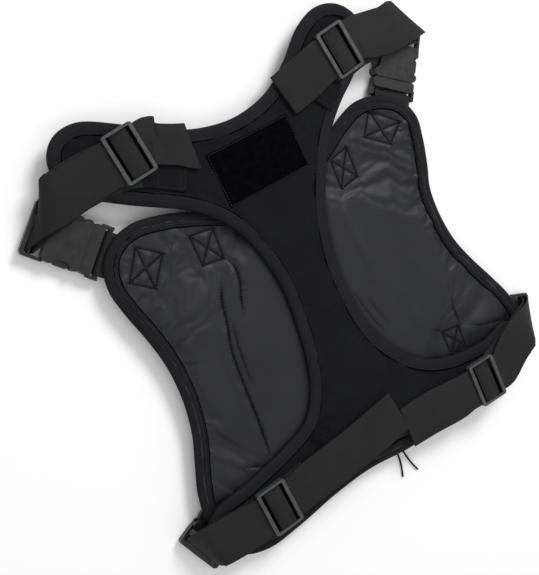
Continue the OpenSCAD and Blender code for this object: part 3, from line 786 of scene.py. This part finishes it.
def edge_binding(name, line, z, tape, node):
    """Ribbed tape folded over a panel's edge."""
    profile = np.array([
        (tape, z[1] - 0.3), (tape - 0.2, z[1] + 0.35), (tape - 1.6, z[1] + 0.65),
        (tape * 0.55, z[1] + 0.75), (3.2, z[1] + 0.55), (1.2, z[1] - 0.1), (0.2, z[1] - 1.2),
        (0.0, (z[0] + z[1]) / 2), (0.2, z[0] + 1.2), (1.2, z[0] + 0.2), (3.2, z[0] - 0.3),
        (tape * 0.55, z[0] - 0.4), (tape - 1.6, z[0] - 0.3), (tape, z[0] + 0.3),
    ])
    path = even(line, 2.0, closed=True)
    n = inward(path)
    s = lengths(joined(path))
    wave = np.sin(s / 4.1) * np.sin(s / 23.0)
    wave = 0.35 * (wave + 0.7 * np.sin(s / 2.9 + 1) * np.sin(s / 31.0))
    inner = np.clip(profile[:, 0] / tape, 0, 1)
    pucker = inner * (1.3 - inner) * np.sign(profile[:, 1] - sum(z) / 2)
    points = []
    for q, m, w in zip(path, n, wave):
        points.append(at_height(q + m * profile[:, :1], profile[:, 1] + w * pucker))
    v = lengths(joined(profile)[:, [0, 1, 1]])     # the height counts twice, as a finer weave on the edge
    faces, uv = grid_faces(len(path), len(profile), True, True, s, v)
    faces, uv = flipped(faces, [(b, a) for a, b in uv])
    obj = make(name, np.vstack(points), faces, "binding", uv=uv)
    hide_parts(node)
    stitches(name + "_stitching", [at_height(path + n * (tape - 1.3), z[1] + 0.55)], "binding")
    # painted shade: a dark line along the seam at the tape's inner edge
    shadow_line(name + "_groove", path + n * (tape + 0.3), z[1] + 0.15)


def make_hem():
    """A flat strip of tape sewn down inside the bib's edge tape, on the lining side."""
    path = even(bib_line, 2.5, closed=True)
    n = inward(path)
    lowest = BIB_Z[1] - 0.4
    end = BIB_TAPE + HEM
    rows = [(BIB_TAPE - 1.0, 0.25), (BIB_TAPE + 0.5, 0.55), (end - 0.8, 0.5), (end, 0.1), (end, -0.6),
            (BIB_TAPE - 1.0, -0.6)]
    points = []
    for q, m in zip(path, n):
        for away, up in rows:
            x, y = q + m * away
            points.append((x, y, max(over_bib(x, y), lowest) + up))
    v = np.linspace(0, 2 * HEM, len(rows) + 1)
    faces, uv = flipped(*grid_faces(len(path), len(rows), True, True, lengths(joined(path)), v))
    obj = make("front_hem", np.array(points), faces, "binding", uv=uv)
    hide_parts("front_binding")
    seam = path + n * (end - 1.2)
    rows = [at_height(seam, [over_bib(x, y, 0.75) for x, y in seam])]
    stitches("front_hem_stitching", rows, "binding", "dark_thread", r=0.4)
    inside = path + n * (end + 0.3)
    # painted shade: a dark line along the hem's inner edge
    shadow_line("front_hem_groove", inside, [max(over_bib(x, y), lowest) + 0.15 for x, y in inside])


edge_binding("front_edge_tape", bib_line, BIB_Z, BIB_TAPE, "front_binding")
edge_binding("back_edge_tape", back_line, BACK_Z, BACK_TAPE, "back_binding")
make_hem()
paths = [even(np.array(l), 2.0) for l in BOX_LINES]
rows = [[(x, y, over_bib(x, y, 0.15)) for x, y in q] for q in paths]
stitches("bib_box_stitches", rows, "lining", "dark_thread", pitch=2.8, long=2.5, r=0.75)


# ---------------- loop patch

def make_patch():
    lo, hi = [np.array(q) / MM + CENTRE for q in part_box("loop_patch")]
    w, d = hi[0] - lo[0], hi[1] - lo[1]
    nx, ny = 64, 40
    points = []
    for i in range(nx + 1):
        for j in range(ny + 1):
            u, v = i / nx, j / ny
            edge = min(min(u, 1 - u) * w, min(v, 1 - v) * d)
            z = hi[2] - 0.5 * math.exp(-edge / 1.2) + 0.25 * (edge > 4) * rng.random()
            points.append((lo[0] + u * w, lo[1] + v * d, z))
    top = lambda i, j: i * (ny + 1) + j
    faces = [(top(i, j), top(i + 1, j), top(i + 1, j + 1), top(i, j + 1))
             for i in range(nx) for j in range(ny)]
    rim = grid_rim(nx + 1, ny + 1)
    base, m = len(points), len(rim)
    points += [(points[i][0], points[i][1], BACK_Z[1] - 0.6) for i in rim]
    faces += [(rim[(a + 1) % m], rim[a], base + a, base + (a + 1) % m) for a in range(m)]
    faces.append(tuple(base + a for a in reversed(range(m))))
    obj = make("loop_patch_pile", points, faces, "loop_pile")
    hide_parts("loop_patch")
    inset = 1.3
    (x0, y0, _), (x1, y1, _) = lo + inset, hi - inset
    corners = [(x1, y1), (x0, y1), (x0, y0), (x1, y0), (x1, y1)]
    rows = [at_height(even(np.array(l), 2), hi[2] - 0.15) for l in zip(corners, corners[1:])]
    stitches("loop_patch_stitching", rows, "loop_pile", pitch=3.0, long=2.4, r=0.4)


make_patch()


# ---------------- buckles and slides

class Buckle:
    def __init__(self, bar, toward, k, thick):
        self.bar, self.k = np.array(bar, float), k
        self.a = unit(toward)
        self.n = left_of(self.a)
        self.z = thick / 2 + FLOOR_GAP
        self.mid = self.bar + self.a * SOCKET_REACH * k
        self.wrap = BAR_D * k / 2 + 0.25 + WEB_T / 2
        self.across = self.n if self.n[1] > 0 else -self.n


BUCKLES = {
    "shoulder_left": Buckle((-209.5, 143), (0.67, -0.74), SHOULDER_K, 12),
    "shoulder_right": Buckle((207, 149.7), (-0.57, -0.82), SHOULDER_K, 12),
    "belt_left": Buckle((-214.2, -192), (0.93, 0.37), BELT_K, 9.6),
    "belt_right": Buckle((214.5, -180.2), (-0.925, 0.38), BELT_K, 9.6),
}


def soften(node, width, material):
    """A CAD node that stays, with rounded edges and its own material."""
    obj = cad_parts[node]
    m = obj.modifiers.new("soften", "BEVEL")
    m.width, m.segments, m.limit_method, m.angle_limit = width * MM, 3, "ANGLE", math.radians(35)
    obj.data.materials.clear()
    obj.data.materials.append(MATERIALS[material])
    for p in obj.data.polygons:
        p.use_smooth = True
    w = obj.modifiers.new("normals", "WEIGHTED_NORMAL")
    w.keep_sharp = True


for place in BUCKLES:
    part, side = place.split("_")
    soften(f"{part}_socket_{side}", 0.9, "buckle_plastic")
    soften(f"{part}_plug_{side}", 0.7, "buckle_plastic")
    soften(f"{part}_arm_{side}_a", 0.5, "buckle_plastic")
    soften(f"{part}_arm_{side}_b", 0.5, "buckle_plastic")
    soften(f"{part}_slide_{side}", 0.6, "slide_plastic")
for n in ("zip_slider_left", "zip_slider_right"):
    soften(n, 0.3, "zip_metal")


# Where the straps run through their slides: middle, direction, half width of the webbing
SLIDES = {
    "shoulder_left": ((-110.2, 165.6), (-0.995, -0.09), 21.2),
    "shoulder_right": ((126.3, 163.5), (0.991, 0.13), 21.2),
    "belt_left": ((-134.4, -192.5), (-0.999, -0.02), 20.2),
    "belt_right": ((128, -208.5), (0.999, -0.03), 20.2),
}
# Section of the webbing's hump over a slide's middle bar: along the strap, height over the ribbon
HUMP = [(-12.2, 0.0), (-10.6, 0.1), (-9.2, 0.5), (-7.6, 1.3), (-5.0, 1.9), (-2.0, 2.15), (1.0, 2.15),
        (4.0, 1.9), (6.8, 1.3), (8.6, 0.5), (10.2, 0.1), (12.2, 0.0)]


def make_hump(place):
    """The short webbing that shows in a slide's window, arched over the middle bar."""
    part, side = place.split("_")
    middle, way, half = SLIDES[place]
    d = unit(way)
    n = left_of(d)
    across = np.linspace(-half, half, 9)
    base = LAYER_2 + WEB_T / 2 + 0.02
    points = []
    for along, up in HUMP:
        for a in across:
            droop = 0.25 * (abs(a) / half) ** 6 * (up > 0.3)
            points.append((*(middle + d * along + n * a), base + up * 0.95 - droop))
    rows, k = len(HUMP), len(across)
    faces, uv = grid_faces(rows, k, False, False, lengths(np.array(HUMP)), across)
    under, under_uv = flipped(faces, uv)
    n_top = len(points)
    points += [(px, py, base - 0.3) for px, py, _ in points]
    rim = grid_rim(rows, k)
    sides = [(a, n_top + a, n_top + b, b) for a, b in zip(rim, rim[1:] + rim[:1])]
    faces += [tuple(n_top + i for i in q) for q in under] + sides
    uv += under_uv + [(0.0, 0.0)] * (4 * len(sides))
    obj = make(f"{place}_window_webbing", points, faces, "webbing", f"{part}_slide_{side}", uv)
    # painted shade: the top rows by the outer bars take the near-black material, where the webbing dips under
    # the bars
    obj.data.materials.append(MATERIALS["webbing_in_shade"])
    for i, p in enumerate(obj.data.polygons[:len(under)]):
        row = i // (k - 1)
        p.material_index = 1 if row < 2 or row > rows - 4 else 0


for place in SLIDES:
    make_hump(place)


# ---------------- pouch, gear webbing and zip

def rounded(x, y, w, d, r):
    """A closed anticlockwise rounded rectangle."""
    out = []
    for cx, cy, q0 in ((w / 2 - r, d / 2 - r, 0), (r - w / 2, d / 2 - r, 90), (r - w / 2, r - d / 2, 180),
                       (w / 2 - r, r - d / 2, 270)):
        for q in range(q0, q0 + 91, 10):
            out.append((x + cx + r * math.cos(math.radians(q)), y + cy + r * math.sin(math.radians(q))))
    return even(np.array(out), STEP, closed=True)


def make_pouch():
    """A soft flat pouch: its lower face bulges between its bound edge and a centre seam."""
    line = rounded(*POUCH)
    n = inward(line)
    ring = line + n * 1.0
    v, f, away = fill_outline(ring)
    top = BIB_Z[0] - 0.35
    drop = lambda away: 4.5 + (top - 4.6) * (1 - np.exp(-away / 9.0))
    seam = np.exp(-((v[:, 1] - POUCH[1] - 22) / 2.2) ** 2) * np.clip(away / 12, 0, 1)
    dimple = 0.5 * np.sin(v[:, 0] / 13.0 + 1) * np.sin(v[:, 1] / 11.0) * np.clip(away / 15, 0, 1)
    low = at_height(v, np.maximum(top - drop(away) + 1.6 * seam + np.abs(dimple), 0.15))
    up = at_height(v, top)
    up[:len(ring), 2] = top - 3.0
    points, faces = two_skins(f, len(ring), up, low)
    obj = make("pouch_body", points, faces, "shell_fabric")
    subdivide(obj)
    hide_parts("front_pouch")
    tube("pouch_piping", joined(at_height(ring, top - 2.6)), 1.3, "binding")
    stitches("pouch_stitching", [at_height(line + n * 7.0, top - drop(6.0) - 0.1)], "shell_fabric")


def make_gear(side, start, end):
    """One gear webbing under the bib, with bar tacks across it."""
    start, run = np.array(start, float), np.subtract(end, start)
    d = unit(run)
    n = left_of(d)
    stations = [(*(start + run * t), UNDER_Z, *n, GEAR_HALF, 0.0) for t in np.linspace(0, 1, 8)]
    gear = ribbon(f"gear_strap_{side}", stations, "webbing", ripple=0.06, seed=3)
    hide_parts(f"gear_webbing_{side}")
    tacks = []
    for t in (0.03, 0.26, 0.5, 0.74, 0.97):
        for shift in (-1.6, 0, 1.6):
            c = start + run * t + d * shift
            tacks.append(at_height([c - n * (GEAR_HALF - 2), c + n * (GEAR_HALF - 2)], UNDER_Z - 0.8))
    stitches(f"gear_bartacks_{side}", tacks, "webbing", "dark_thread", pitch=2.0, long=1.9, r=0.4)


def make_zip():
    """The zip under the bib: its tape, coil and two rows of stitches."""
    stations = [(ZIP_X + q, ZIP_Y, ZIP_Z + 0.9, 0, 1, 8.0, 0.0) for q in np.linspace(-124, 124, 30)]
    tape = ribbon("zip_tape_weave", stations, "binding", thick=0.9, ripple=0.05)
    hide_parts("zip_tape")
    turn = np.arange(0, 242 / COIL_PITCH * 2 * math.pi, 2 * math.pi / 8)
    along = ZIP_X - 121 + turn * COIL_PITCH / (2 * math.pi)
    coil = np.column_stack([along, ZIP_Y + 1.2 * np.cos(turn), ZIP_Z + 0.2 * np.sin(turn)])
    teeth = tube("zip_coil_teeth", coil, 0.28, "zip_coil", sides=5)
    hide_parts("zip_coil")
    along = ZIP_X + np.linspace(-122, 122, 60)
    seams = [[(x, ZIP_Y + 6.5 * g, ZIP_Z + 0.35) for x in along] for g in (-1, 1)]
    stitches("zip_stitching", seams, "binding")


make_pouch()
make_gear("left", (-81, 58), (-127, -126))
make_gear("right", (83, 60), (118, -132))
make_zip()


# ---------------- straps

def free(rows, turned=0):
    """Stations of the free webbing. The last ones, turned in number, are skewed as in a slanting fold."""
    return [(*r, float(i >= len(rows) - turned)) for i, r in enumerate(rows)]


def wrap_round(b, half):
    """Stations down the outer side, round the underside and up the slot side of a buckle's bar."""
    out = []
    for q, rise in [(0, 3.5)] + [(a, 0.0) for a in range(0, 181, 30)] + [(180, 3.5)]:
        r = math.radians(q)
        xy = b.bar - b.a * b.wrap * math.cos(r)
        out.append((*xy, b.z - b.wrap * math.sin(r) + rise, *b.across, half, 1.0))
    return out


def through(place):
    """Stations of the straight run through a slide, coming from the strap's tail."""
    middle, way, half = SLIDES[place]
    d = unit(way)
    n = left_of(d) if d[0] > 0 else -left_of(d)
    return [(*(middle + d * r), LAYER_2, *n, half, 0.0) for r in (-24, -17, -6, 6, 17, 24)]


# Each strap from its tail to its sewn end, in stations of (x, y, z, across x, across y, half width). The part
# through the slide comes between tail and over, and the part round the buckle's bar between over and inner.
# slant is how many of the tail's stations are skewed, bar is the half width at the bar, and bend, where the
# webbing starts and ends following the socket, is not used.
STRAPS = {
    "shoulder_left": dict(
        slant=3,
        tail=[(-52.3, 146, 24.9, 0.1, 0.995, 21.8), (-63, 151, 25.6, 0.04, 1, 21.6),
              (-75, 158.5, 26.5, -0.03, 1, 21.3)],
        over=[(-152, 161.8, LAYER_2, -0.09, 1, 21.2), (-169, 160.3, LAYER_2, -0.06, 1, 21.4),
              (-182, 159.5, LAYER_2, 0.02, 1, 22.8), (-191, 159, 26.3, 0.18, 0.98, 23.8),
              (-199.5, 157.6, 22.8, 0.36, 0.93, 24.4), (-204.5, 153, 17, 0.52, 0.85, 23.6)],
        inner=[(-202.5, 146, 15, 0.58, 0.81, 21.8), (-193, 153.5, 20.3, 0.3, 0.95, 22.4)],
        sewn=[(-180, 159.3, LAYER_1, -0.02, 1, 23), (-138, 162, LAYER_1, 0.05, 1, 23.5),
              (-108, 157, LAYER_1, 0.42, 0.9, 23.5), (-64.5, 132.1, LAYER_1, 0.5, 0.86, 23.5)],
        bar=21.6, bend=((-188, 156, 24), (-208, 145, 12))),
    "shoulder_right": dict(
        tail=[(51.8, 148.5, 24.9, -0.14, 0.99, 21.2), (66, 151.4, 25.8, -0.14, 0.99, 21.6),
              (80, 154.5, 26.5, -0.14, 0.99, 21.8)],
        over=[(165, 163.5, LAYER_2, 0, 1, 22.6), (184, 160.5, LAYER_2, 0.03, 1, 23),
              (203, 162, 26.6, -0.25, 0.97, 23.6), (215.2, 161.2, 23.6, -0.47, 0.88, 24.2),
              (217, 159, 17, -0.6, 0.8, 24)],
        inner=[(204, 151, 16, -0.65, 0.76, 21.5), (197, 157, 20.5, -0.3, 0.95, 22)],
        sewn=[(184, 160.5, LAYER_1, 0.03, 1, 23), (145, 162, LAYER_1, 0, 1, 23.5),
              (112, 154, LAYER_1, -0.4, 0.92, 23.5), (80, 134, LAYER_1, -0.6, 0.8, 23.5)],
        bar=21.6, bend=((196, 159, 24), (207, 150, 12))),
    "belt_left": dict(
        tail=[(21.8, -181, LAYER_2, 0.17, 0.985, 22.6), (-10, -184.6, 26.7, 0.08, 1, 22.4),
              (-40, -187.5, LAYER_2, 0, 1, 22.2), (-75, -189.2, 26.8, -0.04, 1, 22),
              (-98, -190.4, LAYER_2, -0.04, 1, 21.4)],
        over=[(-175, -192, LAYER_2, 0, 1, 22), (-202.6, -189.5, LAYER_2, -0.02, 1, 21.6),
              (-209, -188.8, 25.5, -0.12, 0.99, 21.2), (-213.4, -189.2, 20.5, -0.22, 0.98, 21),
              (-215.8, -190.8, 14.5, -0.32, 0.95, 20.6)],
        inner=[(-210.8, -190, 14.5, -0.3, 0.95, 20), (-209.6, -189.5, 20, -0.15, 0.99, 20.6)],
        sewn=[(-204.6, -189.5, LAYER_1, -0.02, 1, 21.5), (-160, -194, LAYER_1, 0, 1, 22.5),
              (-132, -194, LAYER_1, 0, 1, 22.5), (-92, -190, LAYER_1, 0, 1, 22.5)],
        bar=20.0, bend=((-206, -190, 25), (-215, -192, 10))),
    "belt_right": dict(
        tail=[(23.6, -203.5, LAYER_1 + 0.15, 0.14, 0.99, 21.5), (56, -204.5, LAYER_1 + 1, 0.05, 1, 22.5),
              (88, -207.5, 26.4, 0.03, 1, 22)],
        over=[(174, -196, LAYER_2, -0.15, 0.99, 21.6), (194.5, -187.5, LAYER_2, -0.02, 1, 21.8),
              (203, -185.5, 25.9, 0.06, 1, 21.2), (211, -183.5, 21.5, 0.2, 0.98, 20.6),
              (216.5, -181.6, 15, 0.32, 0.95, 20.2)],
        inner=[(211.2, -180.2, 14.5, 0.35, 0.94, 20), (204.5, -184, 20.5, 0.12, 0.99, 20.6)],
        sewn=[(194.5, -187.5, LAYER_1, -0.02, 1, 21.5), (158, -201.2, LAYER_1, -0.2, 0.98, 21.8),
              (128, -209.4, LAYER_1, 0, 1, 21.2), (96, -208.8, LAYER_1, 0, 1, 21)],
        bar=20.0, bend=((197, -187, 25), (213, -181, 10))),
}


def anchor_stitches(place, sewn):
    """Rows of stitches that hold the sewn end: across the end, and up both edges."""
    *end, _, ax, ay, half = sewn[-1]
    back = unit(np.subtract(sewn[-2][:2], end))
    n = unit([ax, ay]) * (half - 2.5)
    end = end + back * 2.0
    rows = [[end + back * g - n, end + back * g + n] for g in (0, 5, 26)]
    rows += [[end + n * g, end + back * 26 + n * g] for g in (-1, 1)]
    rows = [at_height(row, LAYER_1 + WEB_T / 2 + 0.12) for row in rows]
    stitches(f"{place}_anchor_stitches", rows, "webbing", pitch=2.8, long=2.3, r=0.35)


def shell_coloured_end(obj, sewn):
    """The faces of the sewn end that lie low and near its end take the shell fabric's material."""
    obj.data.materials.append(MATERIALS["shell_fabric"])
    end = np.array(sewn[-1][:3])
    reach = np.linalg.norm(end - sewn[-2][:3]) - 4
    for p in obj.data.polygons:
        c = np.array(p.center) / MM + CENTRE
        if c[2] < LAYER_1 + 1.2 and np.linalg.norm(c[:2] - end[:2]) < reach:
            p.material_index = 1


def make_strap(place, spec):
    part, side = place.split("_")
    stations = free(spec["tail"], spec.get("slant", 0)) + through(place) + free(spec["over"], 3)
    stations += wrap_round(BUCKLES[place], spec["bar"]) + free(spec["inner"], 2) + free(spec["sewn"])
    obj = ribbon(f"{place}_webbing", stations, "webbing", body=None, ripple=0.08, seed=len(place))
    if part == "shoulder":
        shell_coloured_end(obj, spec["sewn"])
    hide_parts(f"{part}_strap_{side}", f"{part}_loop_{side}")
    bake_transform(obj)
    anchor_stitches(place, spec["sewn"])


def make_tab(place):
    """The short webbing that holds a plug to the bib."""
    b = BUCKLES[place]
    part, side = place.split("_")
    half = (SHOULDER_HALF if part == "shoulder" else BELT_HALF) - 3.0
    r = b.wrap
    z = UNDER_Z - b.z
    path = [(34, z), (14, z), (6, max(z, r))]
    path += [(r * math.cos(math.radians(q)), r * math.sin(math.radians(q))) for q in range(90, 271, 30)]
    path += [(6, 0.6 - r), (14, z - 2.2), (34, z - 1.6)]
    bar = b.mid + b.a * PLUG_REACH * b.k
    stations = [(*(bar + b.a * x), b.z + rise, *b.n, half, 0.0) for x, rise in path]
    obj = ribbon(f"{place}_tab_webbing", stations, "webbing")
    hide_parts(f"{part}_tab_{side}")


for place, spec in STRAPS.items():
    make_strap(place, spec)
for place in BUCKLES:
    make_tab(place)


# ---------------- pull cords

CORDS = {
    "left": [(8.5, -198, 3.6), (8.7, -201, 3.4), (9.4, -207, 2.6), (10.4, -214, 1.7), (11.2, -221, 1.2),
             (11.6, -229, 1.1), (11, -238, 1.1), (9, -247, 1.1), (6, -256, 1.1)],
    "right": [(18.5, -198, 3.6), (18.5, -201, 3.4), (18.4, -207, 2.6), (18.1, -214, 1.7), (18, -221, 1.2),
              (18.4, -229, 1.1), (19.4, -238, 1.1), (21.4, -248, 1.1), (25, -259, 1.1)],
}


def make_cord(side, route):
    line = smooth_line(route, 1.5)
    obj = tube(f"pull_cord_{side}_braid", line, CORD_D / 2, "cord", f"zip_slider_{side}", 10)
    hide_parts(f"pull_cord_{side}")


for side, route in CORDS.items():
    make_cord(side, route)


# ---------------- studio

def make_floor():
    bpy.ops.mesh.primitive_plane_add(size=8, location=(0, 0, -0.0002))
    floor = bpy.context.object
    floor.name = "floor"
    paint = Shader("floor_white", 0.9, 0.1)
    paint.bsdf.inputs["Base Color"].default_value = (0.93, 0.93, 0.93, 1)
    floor.data.materials.append(paint.material)


def area_light(name, place, size, energy):
    """A round light that points at the middle of the frame."""
    light = bpy.data.lights.new(name, "AREA")
    light.shape, light.size, light.energy = "DISK", size, energy
    obj = bpy.data.objects.new(name, light)
    obj.location = place
    obj.rotation_euler = (-Vector(place)).to_track_quat("-Z", "Y").to_euler()
    bpy.context.collection.objects.link(obj)


def make_studio():
    make_floor()
    world = bpy.data.worlds.new("studio")
    bpy.context.scene.world = world
    world.use_nodes = True
    world.node_tree.nodes["Background"].inputs["Color"].default_value = (1, 1, 1, 1)
    world.node_tree.nodes["Background"].inputs["Strength"].default_value = 0.66
    area_light("key", (1.2, 1.0, 1.35), 0.8, 29)
    area_light("fill", (-1.2, -0.6, 1.8), 1.6, 5)


def make_camera():
    position = to_frame([-380.0, 204.0, 879.0])
    forward = unit([0.356, -0.221, -0.908])
    up = np.array([0.479, 0.878, -0.026])
    right = unit(np.cross(forward, up))
    up = np.cross(right, forward)
    cam = bpy.data.cameras.new("camera")
    cam.sensor_fit, cam.sensor_height, cam.sensor_width = "AUTO", 36, 36
    cam.lens = 62.6
    cam.clip_start = 0.01
    obj = bpy.data.objects.new("camera", cam)
    m = Matrix((right, up, -forward)).transposed().to_4x4()
    m.translation = Vector(position)
    obj.matrix_world = m
    bpy.context.collection.objects.link(obj)
    bpy.context.scene.camera = obj
    bpy.context.scene.view_settings.view_transform = "Standard"


make_studio()
make_camera()
